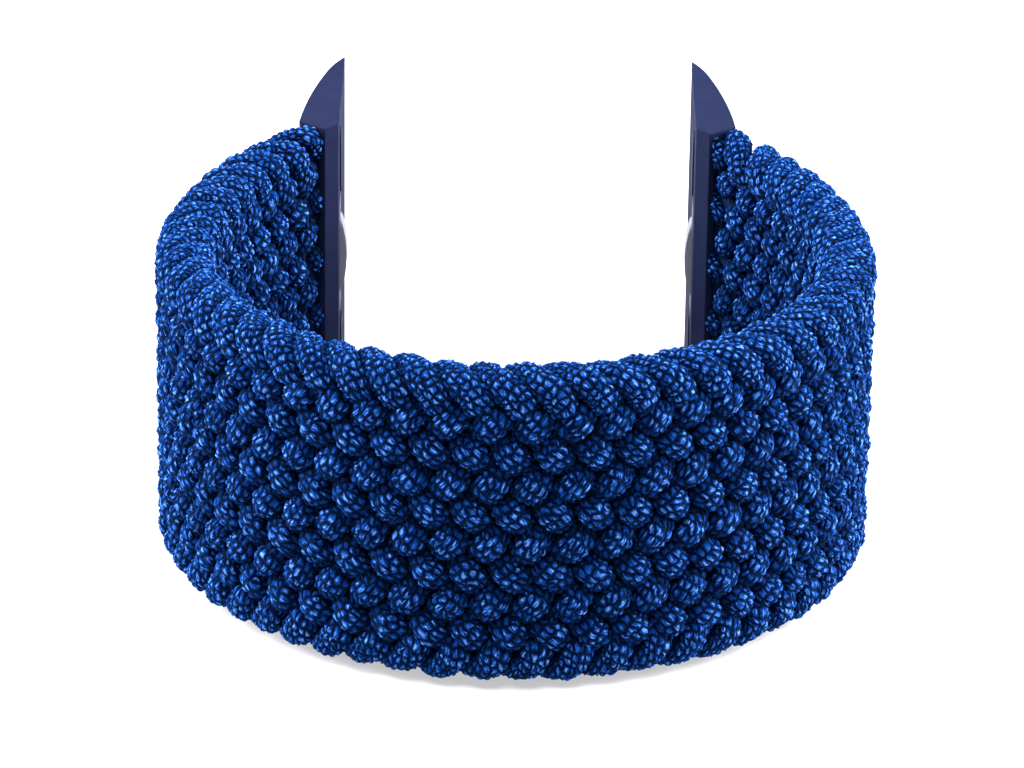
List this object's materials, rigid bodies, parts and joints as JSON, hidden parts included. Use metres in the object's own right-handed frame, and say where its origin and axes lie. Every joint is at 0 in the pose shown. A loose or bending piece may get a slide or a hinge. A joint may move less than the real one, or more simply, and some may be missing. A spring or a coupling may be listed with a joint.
{
  "type": "watch strap",
  "caption": "Stretch watch strap: a flat braided band in an open loop, with a fin-shaped slide-in lug and a sprung latch at each end.",
  "frame": {"origin": "on the resting plane, under the middle of the strap's overall box", "axes": "+Z across the band, from its lower edge up; -Y the front of the loop, +Y towards the two lugs; +X to the viewer's right as seen from the front"},
  "size_m": [0.0488, 0.0574, 0.0226],
  "materials": {
    "braid": "fuzzy braided yarn",
    "elastic": "clear silicone thread",
    "anchor": "melted yarn and moulded resin",
    "lug": "fine matt moulding",
    "frame": "satin",
    "steel": "satin",
    "spring": "drawn wire",
    "pad": "matt elastomer"
  },
  "bodies": {
    "front": {"braid_front": "braid", "cores_front": "elastic"},
    "right_side": {"braid_right_side": "braid", "cores_right_side": "elastic"},
    "right_end": {"braid_right_end": "braid", "cores_right_end": "elastic", "right_end_anchor": "anchor", "right_lug_body": "lug", "right_latch_frame": "frame", "right_pad_upper": "pad", "right_pad_lower": "pad", "right_latch_spring_upper": "spring", "right_latch_spring_lower": "spring"},
    "right_latch": {"right_latch": "steel"},
    "left_side": {"braid_left_side": "braid", "cores_left_side": "elastic"},
    "left_end": {"braid_left_end": "braid", "cores_left_end": "elastic", "left_end_anchor": "anchor", "left_lug_body": "lug", "left_latch_frame": "frame", "left_pad_upper": "pad", "left_pad_lower": "pad", "left_latch_spring_upper": "spring", "left_latch_spring_lower": "spring"},
    "left_latch": {"left_latch": "steel"}
  },
  "joints": [
    {"name": "front_right_flex", "type": "hinge", "parent": "front", "child": "right_side", "pos_m": [0.01285, -0.02268, 0], "axis": [0, 0, -1], "range_deg": [-8, 30], "stiffness_Nm_per_rad": 0.02},
    {"name": "rear_right_flex", "type": "hinge", "parent": "right_side", "child": "right_end", "pos_m": [0.02218, -0.00121, 0], "axis": [0, 0, -1], "range_deg": [-8, 30], "stiffness_Nm_per_rad": 0.02},
    {"name": "right_latch_press", "type": "slide", "parent": "right_end", "child": "right_latch", "axis": [1, 0, 0], "range_m": [0, 0.0005], "stiffness_N_per_m": 400, "springref_m": -0.0005, "deforming": ["right_latch_spring_upper", "right_latch_spring_lower"]},
    {"name": "front_left_flex", "type": "hinge", "parent": "front", "child": "left_side", "pos_m": [-0.01285, -0.02268, 0], "axis": [0, 0, 1], "range_deg": [-8, 30], "stiffness_Nm_per_rad": 0.02},
    {"name": "rear_left_flex", "type": "hinge", "parent": "left_side", "child": "left_end", "pos_m": [-0.02218, -0.00121, 0], "axis": [0, 0, 1], "range_deg": [-8, 30], "stiffness_Nm_per_rad": 0.02},
    {"name": "left_latch_press", "type": "slide", "parent": "left_end", "child": "left_latch", "axis": [-1, 0, 0], "range_m": [0, 0.0005], "stiffness_N_per_m": 400, "springref_m": -0.0005, "deforming": ["left_latch_spring_upper", "left_latch_spring_lower"]}
  ]
}
